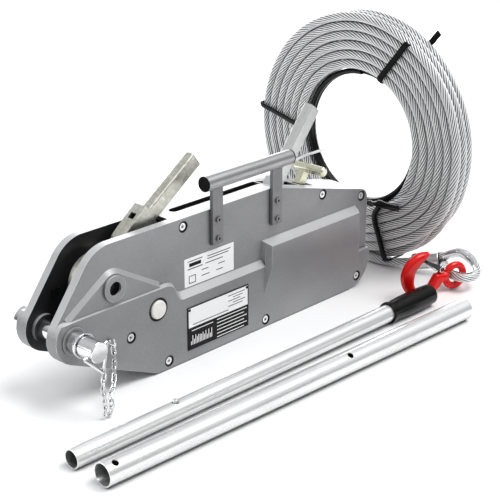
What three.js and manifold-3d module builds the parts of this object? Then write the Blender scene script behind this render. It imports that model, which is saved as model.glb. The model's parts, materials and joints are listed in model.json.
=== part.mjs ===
// Wire-rope puller (come along winch) with its lever tubes, rope coil and hook.
// Millimetres. X runs along the winch from the anchor pin to the rope entry, -Y is the labelled
// face, Z is up and the floor is z = 0.
import * as THREE from 'three';
import { mergeVertices } from 'three/addons/utils/BufferGeometryUtils.js';
import Module from 'manifold-3d';

const wasm = await Module();
wasm.setup();

// ---------------------------------------------------------------- driving dimensions
const GAP = 0.3;                 // clearance between separate pieces
const NOSE = { x: -293, z: 105, r: 37 };       // rounded anchor end of both covers
const PIN = { x: -300, z: 104.5, r: 15 };      // anchor pin
const RIGHT = 330;               // rope-entry end
const TOP = 221;                 // flat top edge
const FACE = 43;                 // outer face of the thick lower casting, from the mid-plane
const RECESS = 35;               // outer face of the thinner upper casting
const WALL_IN = 22;              // inner face of the cover walls
const RIDGE = 52;                // outer face of the ridge over the rope entry
const SPLIT = 0.15;              // half the joint line between the two covers
const ROPE_Z = 104;              // line of pull
const ROPE_D = 16;               // wire rope
const LEVER = { x: -224, z: 157, angle: 34.6 };    // forward lever pivot and lean
const CRANK = 32;                // crank pin radius
const REVERSE = { x: 112, z: 172, angle: 50.8 };   // reverse lever pivot and lean
const RELEASE = { x: 201, z: 181 };                // rope release handle pivot
const PLUG = { x: -146, z: 101, r: 14 };           // big closing plug
const STUB = { w: 24, t: 17, corner: 3.5 };        // section of both lever stubs
const OUTER_TUBE = { r: 17, bore: 15, length: 722 };
const INNER_TUBE = { r: 14, bore: 12, length: 640 };
const COIL = { x: 420, y: 51, z: 215.3, outer: 215, turns: 6, layers: 3 };

const rad = THREE.MathUtils.degToRad;
const group = new THREE.Group();

// ---------------------------------------------------------------- small kit
function solid(geometry) {
  const bare = new THREE.BufferGeometry();
  bare.setAttribute('position', geometry.getAttribute('position'));
  if (geometry.index) bare.setIndex(geometry.index);
  const merged = mergeVertices(bare, 1e-4);
  return new wasm.Manifold(new wasm.Mesh({
    numProp: 3,
    vertProperties: Float32Array.from(merged.getAttribute('position').array),
    triVerts: Uint32Array.from(merged.index.array),
  }));
}

function piece(name, body, colour, roughness = 0.5, metalness = 0) {
  const mesh = body.getMesh();
  const geometry = new THREE.BufferGeometry();
  geometry.setAttribute('position', new THREE.BufferAttribute(Float32Array.from(mesh.vertProperties), 3));
  geometry.setIndex(Array.from(mesh.triVerts));
  const flat = geometry.toNonIndexed();
  flat.computeVertexNormals();
  const material = new THREE.MeshStandardMaterial({ color: colour, roughness, metalness });
  const node = new THREE.Mesh(flat, material);
  node.name = name;
  group.add(node);
}

// A flat shape in X and Z, given depth from y0 to y1.
function plate(shape, y0, y1, segments = 8) {
  const geometry = new THREE.ExtrudeGeometry(shape, {
    depth: y1 - y0, bevelEnabled: false, curveSegments: segments,
  });
  geometry.rotateX(Math.PI / 2);
  geometry.translate(0, y1, 0);
  return solid(geometry);
}

function polygon(points) {
  return new THREE.Shape(points.map(([x, z]) => new THREE.Vector2(x, z)));
}

// A solid whose section changes in straight lines from one outline to another with as many corners.
function loft(near, yNear, far, yFar) {
  const count = near.length;
  const ring = (points, y) => points.map(([x, z]) => [x, y, z]);
  const vertices = [...ring(near, yNear), ...ring(far, yFar)].flat();
  const index = [];
  for (const face of THREE.ShapeUtils.triangulateShape(near.map(([x, z]) => new THREE.Vector2(x, z)), [])) {
    index.push(face[0], face[1], face[2]);
  }
  for (const face of THREE.ShapeUtils.triangulateShape(far.map(([x, z]) => new THREE.Vector2(x, z)), [])) {
    index.push(count + face[2], count + face[1], count + face[0]);
  }
  for (let i = 0; i < count; i += 1) {
    const next = (i + 1) % count;
    index.push(i, count + i, count + next, i, count + next, next);
  }
  const geometry = new THREE.BufferGeometry();
  geometry.setAttribute('position', new THREE.Float32BufferAttribute(vertices, 3));
  geometry.setIndex(index);
  return solid(geometry);
}

function box(x0, x1, y0, y1, z0, z1) {
  const geometry = new THREE.BoxGeometry(x1 - x0, y1 - y0, z1 - z0);
  geometry.translate((x0 + x1) / 2, (y0 + y1) / 2, (z0 + z1) / 2);
  return solid(geometry);
}

// A bar or disc along Y.
function rodY(x, z, r, y0, y1, sides = 18) {
  const geometry = new THREE.CylinderGeometry(r, r, y1 - y0, sides);
  geometry.translate(x, (y0 + y1) / 2, z);
  return solid(geometry);
}

function rodX(y, z, r, x0, x1, sides = 18) {
  const geometry = new THREE.CylinderGeometry(r, r, x1 - x0, sides);
  geometry.rotateZ(Math.PI / 2);
  geometry.translate((x0 + x1) / 2, y, z);
  return solid(geometry);
}

function rodZ(x, y, r, z0, z1, sides = 24) {
  const geometry = new THREE.CylinderGeometry(r, r, z1 - z0, sides);
  geometry.rotateX(Math.PI / 2);
  geometry.translate(x, y, (z0 + z1) / 2);
  return solid(geometry);
}

// A round bar between any two points.
function rod(from, to, r, sides = 16) {
  const a = new THREE.Vector3(...from);
  const b = new THREE.Vector3(...to);
  const geometry = new THREE.CylinderGeometry(r, r, a.distanceTo(b), sides);
  const turn = new THREE.Quaternion().setFromUnitVectors(
    new THREE.Vector3(0, 1, 0), b.clone().sub(a).normalize());
  geometry.applyQuaternion(turn);
  geometry.translate((a.x + b.x) / 2, (a.y + b.y) / 2, (a.z + b.z) / 2);
  return solid(geometry);
}

// A turned body about X; the profile holds [radius, x] pairs and starts and ends on the axis.
function turnedX(profile, y, z, sides = 32) {
  const geometry = new THREE.LatheGeometry(profile.map(([r, x]) => new THREE.Vector2(r, x)), sides);
  geometry.rotateZ(-Math.PI / 2);
  geometry.translate(0, y, z);
  return outward(geometry);
}

function turnedY(profile, x, z, sides = 32) {
  const geometry = new THREE.LatheGeometry(profile.map(([r, y]) => new THREE.Vector2(r, y)), sides);
  geometry.translate(x, 0, z);
  return outward(geometry);
}

// Turned bodies come out inside out when their profile runs the other way round.
function outward(geometry) {
  const body = solid(geometry);
  if (body.volume() > 0) return body;
  const index = geometry.index.array;
  for (let i = 0; i < index.length; i += 3) {
    [index[i], index[i + 1]] = [index[i + 1], index[i]];
  }
  return solid(geometry);
}

// A bent round wire through a list of points.
function wire(points, r, steps, sides = 8, closed = false) {
  const curve = new THREE.CatmullRomCurve3(points.map((p) => new THREE.Vector3(...p)), closed);
  const ring = new THREE.Shape();
  for (let i = 0; i < sides; i += 1) {
    const a = (i / sides) * 2 * Math.PI;
    if (i === 0) ring.moveTo(r * Math.cos(a), r * Math.sin(a));
    else ring.lineTo(r * Math.cos(a), r * Math.sin(a));
  }
  ring.closePath();
  const geometry = new THREE.ExtrudeGeometry(ring, { steps, extrudePath: curve, bevelEnabled: false });
  return solid(geometry);
}

function roundedRect(w, h, corner) {
  const shape = new THREE.Shape();
  const x = w / 2;
  const z = h / 2;
  shape.moveTo(-x + corner, -z);
  shape.lineTo(x - corner, -z);
  shape.absarc(x - corner, -z + corner, corner, -Math.PI / 2, 0, false);
  shape.absarc(x - corner, z - corner, corner, 0, Math.PI / 2, false);
  shape.absarc(-x + corner, z - corner, corner, Math.PI / 2, Math.PI, false);
  shape.absarc(-x + corner, -z + corner, corner, Math.PI, Math.PI * 1.5, false);
  return shape;
}

// ---------------------------------------------------------------- the two covers
// The outline shared by both covers: nose arc, sloping front edge, flat top, falling top, foot.
function coverOutline() {
  const shape = new THREE.Shape();
  const lean = rad(52.3);
  const under = rad(23.5);
  const crown = { x: -224, z: TOP - 56.6, r: 56.6 };
  const foot = { x: 281, z: 50, r: 50 };
  const shoulder = { x: 312, z: 148, r: 18 };
  const fall = rad(13.5);
  shape.moveTo(-146, 0);
  shape.lineTo(foot.x, 0);
  shape.absarc(foot.x, foot.z, foot.r - 1, -Math.PI / 2, 0, false);
  shape.absarc(shoulder.x, shoulder.z, shoulder.r, 0, Math.PI / 2 - fall, false);
  shape.lineTo(106, TOP - 1.5);
  shape.lineTo(98, TOP);
  shape.absarc(crown.x, crown.z, crown.r, Math.PI / 2, Math.PI / 2 + lean, false);
  shape.absarc(NOSE.x, NOSE.z, NOSE.r, Math.PI / 2 + lean, Math.PI * 1.5 - under, false);
  return shape;
}

// The thick lower casting: nose, the step round the big plug, then the lower shelf.
function lowerOutline(rise) {
  const shape = new THREE.Shape();
  const shelf = 101 + rise * 1.3;
  const ledge = 131 + rise * 0.3;
  const side = -107 + rise * 0.2;
  shape.moveTo(-146, 0);
  shape.lineTo(281, 0);
  shape.absarc(281, 50, 49, -Math.PI / 2, 0, false);
  shape.lineTo(330, 62);
  shape.lineTo(84, 62);
  shape.lineTo(84, shelf);
  shape.lineTo(side + 10, shelf);
  shape.quadraticCurveTo(side, shelf + 2, side - 2, shelf + 12);
  shape.quadraticCurveTo(side - 5, ledge - 2, side - 20, ledge);
  shape.lineTo(NOSE.x + 26, ledge);
  shape.quadraticCurveTo(NOSE.x - 2, ledge, NOSE.x - 22, ledge - 1);
  shape.absarc(NOSE.x, NOSE.z, NOSE.r, rad(137), Math.PI * 1.5 - rad(23.5), false);
  return shape;
}

function outlinePoints(shape, segments) {
  return shape.extractPoints(segments).shape.map((p) => [p.x, p.y]);
}

// Everything below is drawn for the labelled cover; the other one is its mirror image.
function coverBlank() {
  const upper = plate(coverOutline(), -RECESS, -WALL_IN, 7);
  const rim = outlinePoints(lowerOutline(0), 4);
  const base = outlinePoints(lowerOutline(8), 4);
  const body = upper.add(loft(rim, -FACE, base, -RECESS + 0.5));
  return body.add(ropeEntryRidge()).add(coverRibs()).add(coverWalls());
}

// The raised block over the rope entry; its lower side runs out slowly into the lower casting.
function ropeEntryRidge() {
  const face = [[83, 101], [292, 74], [290, 135], [83, 135]];
  const block = loft(face, -RIDGE, [[76, 96], [299, 68], [299, 142], [76, 142]], -RECESS + 0.5);
  return block.add(loft(face, -RIDGE, [[73, 47], [300, 26], [298, 138], [79, 138]], -FACE + 1));
}

// The outline of the raised web: from the nose over the lever boss and down to the step.
function webOutline(radius, foot) {
  const rise = rad(33);
  const fall = rad(29.7);
  const left = radius / Math.cos(rise) - (LEVER.x + 308) * Math.tan(rise);
  const right = radius / Math.cos(fall) - (-136 - LEVER.x) * Math.tan(fall);
  const shape = new THREE.Shape();
  shape.moveTo(-308 + foot, 125);
  shape.lineTo(-136 - foot, 125);
  shape.lineTo(-136 - foot, LEVER.z + right + foot * Math.tan(fall));
  shape.absarc(LEVER.x, LEVER.z, radius, Math.PI / 2 - fall, Math.PI / 2 + rise, false);
  shape.lineTo(-308 + foot, LEVER.z + left + foot * Math.tan(rise));
  return shape;
}

// Raised web from the nose to the lever boss, and the boss itself.
function coverRibs() {
  const web = loft(outlinePoints(webOutline(21, 3), 6), -RECESS - 5,
    outlinePoints(webOutline(28, 0), 6), -RECESS + 0.5);
  const boss = rodY(LEVER.x, LEVER.z, 19, -FACE - 1, -WALL_IN, 28);
  const plugBoss = rodY(PLUG.x, PLUG.z, 27, -FACE + 0.5, -WALL_IN, 24);
  const lug = rodY(PIN.x, PIN.z, 20, -FACE - 2, -WALL_IN + 6, 24);
  return web.add(boss).add(plugBoss).add(lug);
}

// Top, right-hand and bottom walls that meet the other cover on the mid-plane.
function coverWalls() {
  const top = polygon([
    [-104, TOP], [98, TOP], [106, TOP - 1.5], [316, 165.5], [330, 148], [330, 130],
    [316, 130], [312, 150], [104, 204], [98, 206], [-92, 206]]);
  const entry = polygon([[296, 62], [330, 62], [330, 146], [296, 146]]);
  const bottom = polygon([
    [-210, 28], [-146, 0], [281, 0], [316, 15.5], [330, 50], [330, 66], [316, 66], [300, 26],
    [276, 11], [-142, 11], [-204, 39]]);
  let walls = plate(top, -WALL_IN - 1, -SPLIT, 4);
  walls = walls.add(plate(entry, -WALL_IN - 1, -SPLIT, 4));
  walls = walls.add(plate(bottom, -WALL_IN - 1, -SPLIT, 4));
  return walls;
}

const COVER_BOLTS = [
  [-87, 208, RECESS], [218, 180.5, RECESS], [315, 154, RECESS], [-198, 74.5, FACE],
  [-127, 13.5, FACE], [78, 12.5, FACE], [299, 20, FACE]];

function coverCuts() {
  let cuts = box(-72, 104, -7.5, 7.5, 190, 240)
    .add(rodZ(-72, 0, 7.5, 190, 240, 20))
    .add(box(110, 184, -12, 12, 160, 240))
    .add(box(191, 222, -10.5, 10.5, 160, 240));
  cuts = cuts.add(rodX(0, ROPE_Z, 13, 280, 340));
  cuts = cuts.add(rodY(PIN.x, PIN.z, PIN.r + GAP, -60, 0));
  cuts = cuts.add(rodY(LEVER.x, LEVER.z, 8.2 + GAP, -60, 0));
  cuts = cuts.add(rodY(LEVER.x, LEVER.z, 10.6, -60, -RECESS + 1, 24));
  cuts = cuts.add(rodY(REVERSE.x, REVERSE.z, 8 + GAP, -RECESS + 5, 0));
  cuts = cuts.add(rodY(RELEASE.x, RELEASE.z, 4 + GAP, -RECESS + 6, 0, 16));
  for (const [x, z, face] of COVER_BOLTS) {
    cuts = cuts.add(rodY(x, z, 7.7, -face - 1, -face + 7, 16));
    cuts = cuts.add(rodY(x, z, 4 + GAP, -face - 1, 0, 10));
  }
  return cuts;
}

function mirrored(body) {
  return body.mirror([0, 1, 0]);
}

// The labelled cover has the plug hole and a locating lip on its foot; the other has the lip's rebate.
function covers() {
  const shell = coverBlank().subtract(coverCuts());
  const lip = box(-130, 270, -1, 4, 0, 6);
  const rebate = box(-130 - GAP, 270 + GAP, -1, 4 + GAP, -1, 6 + GAP);
  const front = shell.subtract(rodY(PLUG.x, PLUG.z, PLUG.r + GAP, -60, -FACE + 6))
    .subtract(rodY(PLUG.x, PLUG.z, PLUG.r + 2.6, -60, -FACE + 3, 28)).add(lip);
  piece('front_cover', front, '#8f9092', 0.45, 0.35);
  piece('back_cover', mirrored(shell).subtract(rebate), '#8f9092', 0.45, 0.35);
}

function bolts() {
  COVER_BOLTS.forEach(([x, z, face], i) => {
    const head = rodY(x, z, 5.8, -face + 1, -face + 7 - GAP, 14);
    const shank = rodY(x, z, 4, -face + 6, 18, 8);
    const socket = rodY(x, z, 2.9, -face, -face + 4.5, 6);
    piece(`cover_bolt_${i + 1}`, head.add(shank).subtract(socket), '#c9cacb', 0.3, 0.9);
  });
}

function closingPlug() {
  const profile = [[0, -FACE + 5.6], [PLUG.r, -FACE + 5.6], [PLUG.r, -FACE - 1.5],
    [PLUG.r - 1.5, -FACE - 3], [0, -FACE - 3]];
  piece('closing_plug', turnedY(profile, PLUG.x, PLUG.z, 28), '#e4e4e0', 0.5);
}

// Blank plates: the rating plate on the lower casting and the paper label above it.
function labels() {
  let plateBody = box(-90, 38, -FACE - 1, -FACE - GAP / 3, 16.5, 84.5);
  for (const x of [-86, 34]) {
    for (const z of [20.5, 80.5]) {
      plateBody = plateBody.add(rodY(x, z, 2.2, -FACE - 1.8, -FACE - 0.8, 10));
    }
  }
  piece('data_plate', plateBody, '#202122', 0.4, 0.2);
  piece('type_label', box(-86.5, 15, -RECESS - 0.4, -RECESS - 0.1, 113, 157), '#f1f1ef', 0.6);
}

// ---------------------------------------------------------------- carrying handle
const HANDLE = { y: -42, z: 264.5, r: 11.5, x0: -50, x1: 130 };

function carryHandle() {
  const tube = rodX(HANDLE.y, HANDLE.z, HANDLE.r, HANDLE.x0, HANDLE.x1, 24)
    .subtract(rodX(HANDLE.y, HANDLE.z, HANDLE.r - 2, HANDLE.x0 - 1, HANDLE.x1 + 1, 24));
  piece('handle_tube', tube, '#9a9b9d', 0.4, 0.5);
  const cap = (x, side) => turnedX([[0, x], [HANDLE.r, x], [HANDLE.r, x + 2 * side],
    [HANDLE.r - 2 - GAP, x + 2 * side], [HANDLE.r - 2 - GAP, x + 10 * side], [0, x + 10 * side]],
  HANDLE.y, HANDLE.z, 24);
  piece('handle_cap_left', cap(HANDLE.x0 - 2 - GAP, 1), '#111213', 0.6);
  piece('handle_cap_right', cap(HANDLE.x1 + 2 + GAP, -1), '#111213', 0.6);
  piece('handle_bracket_left', bracket(-33.5, -12.5), '#8d8e90', 0.45, 0.4);
  piece('handle_bracket_right', bracket(94, 115), '#8d8e90', 0.45, 0.4);
}

// A strap with two screw heads, its top saddled to the tube.
function bracket(x0, x1) {
  const yFace = -RECESS - GAP;
  const mid = (x0 + x1) / 2;
  const foot = x0 < 0 ? 166 : 163;
  let strap = box(x0, x1, yFace - 6, yFace, foot, HANDLE.z);
  strap = strap.subtract(rodX(HANDLE.y, HANDLE.z, HANDLE.r + GAP, x0 - 1, x1 + 1, 24));
  for (const z of [foot + 9, foot + 38]) {
    strap = strap.add(rodY(mid, z, 4.6, yFace - 9, yFace - 5, 14))
      .subtract(rodY(mid, z, 2.2, yFace - 10, yFace - 7, 6));
  }
  return strap;
}

// ---------------------------------------------------------------- anchor pin, clip and chain
const CLIP = { y: -88, tilt: 18, wire: 2.2, reach: 21, drop: 38 };

function anchorPin() {
  const profile = [[0, -97], [PIN.r - 1.2, -97], [PIN.r, -95.8], [PIN.r, 46], [21.5, 46],
    [21.5, 61], [19.5, 63], [0, 63]];
  const along = [Math.cos(rad(CLIP.tilt)), Math.sin(rad(CLIP.tilt))];
  const hole = rod([PIN.x - 30 * along[0], CLIP.y, PIN.z - 30 * along[1]],
    [PIN.x + 30 * along[0], CLIP.y, PIN.z + 30 * along[1]], CLIP.wire + GAP, 12);
  const pin = turnedY(profile, PIN.x, PIN.z, 32).subtract(hole);
  piece('anchor_pin', pin, '#c4c6c8', 0.25, 0.9);
  const collar = rodY(PIN.x, PIN.z, 18, -66, -62, 32)
    .subtract(rodY(PIN.x, PIN.z, PIN.r + GAP, -70, -60, 32));
  piece('pin_collar', collar, '#d5d6d7', 0.25, 0.9);
}

// Local clip points: u runs along the cross hole, v points down from the pin.
function clipPoint(u, v) {
  const c = Math.cos(rad(CLIP.tilt));
  const s = Math.sin(rad(CLIP.tilt));
  return [PIN.x + u * c + v * s, CLIP.y, PIN.z + u * s - v * c];
}

function springClip() {
  const r = CLIP.wire;
  const reach = CLIP.reach;
  const corner = clipPoint(0, CLIP.drop);
  let clip = rod(clipPoint(-reach, 0), clipPoint(reach, 0), r, 10);
  clip = clip.add(rod(clipPoint(-reach, 0), corner, r, 10));
  clip = clip.add(rod(clipPoint(reach, 0), corner, r, 10));
  piece('spring_clip', clip, '#d0d1d2', 0.25, 0.9);
}

// The chain hangs from the clip to the floor and climbs back to an eye on the casing.
function pinChain() {
  const eye = { x: -240, z: 84, r: 6 };
  const start = clipPoint(0, CLIP.drop + 4.8);
  const path = [start, [-290.5, -89, 52], [-291, -89.5, 40], [-289, -90, 21], [-291, -91, 6], [-285, -92, 3],
    [-277, -89, 14], [-271, -80, 26], [-258, -72, 33], [-248, -62, 47], [-240, -54, 64],
    [eye.x, -51.5, 75.5]];
  const chain = wire(path, 2.3, 30, 6);
  piece('pin_chain', chain, '#c9cacb', 0.25, 0.9);
  const ring = wire(Array.from({ length: 10 }, (_, i) => {
    const a = (i / 10) * 2 * Math.PI;
    return [eye.x, -51.5 + eye.r * Math.cos(a), eye.z + eye.r * Math.sin(a)];
  }), 1.5, 20, 6, true);
  const stem = rod([eye.x, -FACE - GAP, eye.z], [eye.x, -46, eye.z], 2.4, 10);
  piece('chain_eye', ring.add(stem), '#c0c1c2', 0.3, 0.9);
}

// ---------------------------------------------------------------- levers
function aimed(body, pivot) {
  return body.rotate([0, -pivot.angle, 0]).translate([pivot.x, 0, pivot.z]);
}

// A rounded rectangular bar along +X, w across the lever and t along Y.
function stubBar(w, t, corner, x0, x1) {
  const geometry = new THREE.ExtrudeGeometry(roundedRect(t, w, corner), {
    depth: x1 - x0, bevelEnabled: false, curveSegments: 4,
  });
  geometry.rotateY(Math.PI / 2);
  geometry.rotateX(Math.PI / 2);
  geometry.translate(x0, 0, 0);
  return solid(geometry);
}

function stubTube(x0, x1) {
  const wall = 2.5;
  return stubBar(STUB.w, STUB.t, STUB.corner, x0, x1)
    .subtract(stubBar(STUB.w - 2 * wall, STUB.t - 2 * wall, STUB.corner - 2, x0 - 1, x1 + 1));
}

function stubSocket(x0, x1) {
  return stubBar(STUB.w + 2 * GAP, STUB.t + 2 * GAP, STUB.corner, x0, x1);
}

const CRANK_ANGLES = { upper: 55 - LEVER.angle, lower: 235 - LEVER.angle };

function crankPoint(angle, r = CRANK) {
  return [r * Math.cos(rad(angle)), r * Math.sin(rad(angle))];
}

function forwardLever() {
  let casting = rodY(0, 0, 40, -9, 9, 40);
  casting = casting.add(plate(polygon([
    [10, -26], [70, -25], [106, -19], [123, -19], [123, 23], [104, 22], [68, 19], [48, 12], [20, 20]]),
  -11.5, 11.5));
  casting = casting.subtract(stubSocket(64, 130));
  casting = casting.subtract(box(98, 108, -5.5, 5.5, 10, 40));
  casting = casting.subtract(rodY(0, 0, 8.2 + GAP, -20, 20));
  const [ux, uz] = crankPoint(CRANK_ANGLES.upper);
  const [lx, lz] = crankPoint(CRANK_ANGLES.lower);
  const [sx, sz] = crankPoint(101, 27);
  casting = casting.subtract(rodY(ux, uz, 6 + GAP, -20, 20)).subtract(rodY(lx, lz, 6 + GAP, -20, 20))
    .subtract(rodY(sx, sz, 3.5 + GAP, -20, 20, 12));
  piece('forward_lever', aimed(casting, LEVER), '#5a5b58', 0.5, 0.7);
  piece('forward_stub', aimed(stubTube(64.5, 234), LEVER), '#b9b8ac', 0.35, 0.85);
  piece('main_shaft', rodY(LEVER.x, LEVER.z, 8.2, -34, 34), '#2a2b2c', 0.4, 0.8);
  piece('crank_pin_upper', aimed(rodY(ux, uz, 6, -21.3, 9), LEVER), '#c8bd82', 0.35, 0.85);
  piece('crank_pin_lower', aimed(rodY(lx, lz, 6, -9, 21.3), LEVER), '#c8bd82', 0.35, 0.85);
  piece('shear_pin', aimed(rodY(sx, sz, 3.5, -12, 12, 16), LEVER), '#c8bd82', 0.35, 0.85);
  const stop = rodY(-279, 153, 7, 14, 19, 6).add(rodY(-279, 153, 4, 14, WALL_IN - GAP, 14));
  piece('stop_bolt', stop, '#a9aaab', 0.3, 0.9);
}

function reverseLever() {
  let casting = rodY(0, 0, 17, -10.5, 10.5, 28);
  casting = casting.add(box(0, 54, -10.5, 10.5, -14.5, 14.5));
  casting = casting.subtract(stubSocket(24, 60)).subtract(rodY(0, 0, 8 + GAP, -20, 20));
  piece('reverse_lever', aimed(casting, REVERSE), '#8f9092', 0.45, 0.6);
  piece('reverse_stub', aimed(stubTube(24.5, 184), REVERSE), '#b4b5b6', 0.35, 0.85);
  piece('reverse_shaft', rodY(REVERSE.x, REVERSE.z, 8, -29, 29), '#77787a', 0.35, 0.85);
}

function releaseHandle() {
  const arm = polygon([[193, 181], [193, 199], [209, 221], [219, 213], [208.5, 197], [208.5, 181]]);
  let handle = rodY(RELEASE.x, RELEASE.z, 8, -5, 5, 20).add(plate(arm, -6, 6));
  const bar = [[0, -42], [5.5, -42], [7.5, -40], [7.5, 16], [5.5, 18], [0, 18]];
  handle = handle.add(turnedY(bar, 213, 219.5, 20));
  handle = handle.subtract(rodY(RELEASE.x, RELEASE.z, 4 + GAP, -20, 20, 16));
  piece('release_handle', handle, '#d9d6bd', 0.35, 0.8);
  piece('release_shaft', rodY(RELEASE.x, RELEASE.z, 4, -28, 28, 16), '#8a8b8c', 0.35, 0.85);
}

// ---------------------------------------------------------------- jaws that walk along the rope
const JAW_BOX = { length: 122, half: 15, up: 34, down: 30 };

function jawSet(name, x0, colour) {
  const x1 = x0 + JAW_BOX.length;
  let shell = box(x0, x1, -JAW_BOX.half, JAW_BOX.half, ROPE_Z - JAW_BOX.down, ROPE_Z + JAW_BOX.up);
  shell = shell.subtract(box(x0 + 8, x1 - 8, -10.5, 10.5, ROPE_Z - 24, ROPE_Z + 28));
  shell = shell.subtract(rodX(0, ROPE_Z, 9.5, x0 - 1, x1 + 1, 20));
  shell = shell.subtract(box(x0 + 30, x1 - 30, -20, 20, ROPE_Z - 6, ROPE_Z + 6));
  piece(`${name}_jaw_box`, shell, colour, 0.5, 0.7);
  const groove = rodX(0, ROPE_Z, ROPE_D / 2 + GAP, x0, x1, 20);
  const upper = box(x0 + 36, x1 - 8.3, -10, 10, ROPE_Z + 1, ROPE_Z + 23).subtract(groove);
  const lower = box(x0 + 8.3, x1 - 8.3, -10, 10, ROPE_Z - 23.7, ROPE_Z - 1).subtract(groove);
  piece(`${name}_upper_jaw`, upper, '#7b7c7d', 0.35, 0.85);
  piece(`${name}_lower_jaw`, lower, '#7b7c7d', 0.35, 0.85);
  const spring = [];
  for (let i = 0; i <= 24; i += 1) {
    const a = (i / 6) * 2 * Math.PI;
    spring.push([x0 + 10.5 + i * 0.95, 5 * Math.cos(a), ROPE_Z + 17 + 5 * Math.sin(a)]);
  }
  piece(`${name}_jaw_spring`, wire(spring, 1.1, 32, 5), '#9c9d9e', 0.35, 0.9);
}

// Connecting bar from a crank pin to a jaw box; its eye is a slot that lets the pin rise and fall.
function link(name, angle, side, zMid, x1) {
  const [px] = crankPoint(angle + LEVER.angle);
  const x = LEVER.x + px;
  const y0 = side < 0 ? -21.3 : 15.5;
  const y1 = side < 0 ? -15.5 : 21.3;
  let bar = plate(polygon([
    [x - 14, zMid - 12], [x + 24, zMid - 13], [x1 - 4, ROPE_Z - 9], [x1 + 12, ROPE_Z - 9],
    [x1 + 12, ROPE_Z + 9], [x1 - 4, ROPE_Z + 9], [x + 10, zMid + 16], [x - 14, zMid + 14]]), y0, y1);
  bar = bar.subtract(box(x - 7.2, x + 7.2, -30, 30, zMid - 9.6, zMid + 9.6));
  piece(name, bar, '#5f6062', 0.5, 0.7);
}

function mechanism() {
  jawSet('front', -130, '#6e6f70');
  jawSet('rear', 84, '#6e6f70');
  link('front_link', CRANK_ANGLES.upper, -1, 186.1, -112);
  link('rear_link', CRANK_ANGLES.lower, 1, 127.9, 104);
  const guide = turnedX([[0, 302], [12.7, 302], [12.7, 330.4], [17, 330.4], [17, 335], [0, 335]], 0, ROPE_Z)
    .subtract(rodX(0, ROPE_Z, 9.2, 290, 340));
  piece('rope_guide', guide, '#9b8d5a', 0.4, 0.7);
}

// ---------------------------------------------------------------- telescopic lever tubes
const OUTER_LAY = { x: -406, y: -220, z: OUTER_TUBE.r, yaw: -2.2, pitch: 0 };
const INNER_LAY = { x: -405, y: -159, z: INNER_TUBE.r, yaw: -1.25, pitch: 0.33 };

function laid(body, lay) {
  return body.rotate([0, -lay.pitch, lay.yaw]).translate([lay.x, lay.y, lay.z]);
}

function leverTubes() {
  const hole = (x, turn = 0) => rodZ(x, 0, 4.8, 0, 30, 16).rotate([turn, 0, 0]);
  const outer = rodX(0, 0, OUTER_TUBE.r, 0, OUTER_TUBE.length, 32)
    .subtract(rodX(0, 0, OUTER_TUBE.bore, -1, OUTER_TUBE.length + 1, 32))
    .subtract(hole(15, 28)).subtract(hole(446, 28));
  piece('outer_tube', laid(outer, OUTER_LAY), '#d4d5d6', 0.25, 0.9);
  const inner = rodX(0, 0, INNER_TUBE.r, 0, 724, 28)
    .subtract(rodX(0, 0, INNER_TUBE.bore, -1, 730, 28))
    .subtract(hole(177));
  piece('inner_tube', laid(inner, INNER_LAY), '#d4d5d6', 0.25, 0.9);
  const grip = turnedX([[0, 622], [17.5, 622], [17.5, 627], [15.8, 633], [17.6, 660], [17.9, 700],
    [16.5, 728], [12, 732], [0, 732]], 0, 0, 28)
    .subtract(rodX(0, 0, INNER_TUBE.r + GAP, 600, 724.5, 28));
  piece('grip', laid(grip, INNER_LAY), '#1d1e1f', 0.75);
  const button = turnedZ([[0, 5], [3.9, 5], [3.9, 16], [2.8, 18], [0, 18.4]], 177);
  piece('spring_button', laid(button, INNER_LAY), '#b9babb', 0.3, 0.9);
}

function turnedZ(profile, x) {
  const geometry = new THREE.LatheGeometry(profile.map(([r, z]) => new THREE.Vector2(r, z)), 16);
  geometry.rotateX(Math.PI / 2);
  geometry.translate(x, 0, 0);
  return outward(geometry);
}

// ---------------------------------------------------------------- rope coil and its ties
function ringX(inner, outer, halfWidth, sides) {
  const geometry = new THREE.LatheGeometry([[inner, -halfWidth], [outer, -halfWidth],
    [outer, halfWidth], [inner, halfWidth], [inner, -halfWidth]]
    .map(([r, x]) => new THREE.Vector2(r, x)), sides);
  geometry.rotateZ(-Math.PI / 2);
  geometry.translate(COIL.x, COIL.y, COIL.z);
  return outward(geometry);
}

function ropeCoil() {
  const half = (COIL.layers * ROPE_D) / 2;
  const inner = COIL.outer - COIL.turns * ROPE_D;
  piece('rope_coil', ringX(inner, COIL.outer, half, 40), '#b8babc', 0.4, 0.8);
  piece('core_hose', ringX(inner - 9.5, inner - 0.5, 12, 32), '#151617', 0.6);
  for (const [name, turn] of [['tie_top', 27], ['tie_left', -86], ['tie_bottom', 158]]) {
    const loop = box(-half - 3, half + 3, -5, 5, inner - 13, COIL.outer + 3)
      .subtract(box(-half - GAP, half + GAP, -6, 6, inner - 10.4, COIL.outer + GAP));
    const placed = loop.rotate([turn, 0, 0]).translate([COIL.x, COIL.y, COIL.z]);
    piece(name, placed, '#18191a', 0.6);
  }
}

// ---------------------------------------------------------------- rope end: tail, ferrule, eye
const FERRULE = { from: [422.5, -66, 15.5], to: [442, -108, 25], r: 14 };

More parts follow.
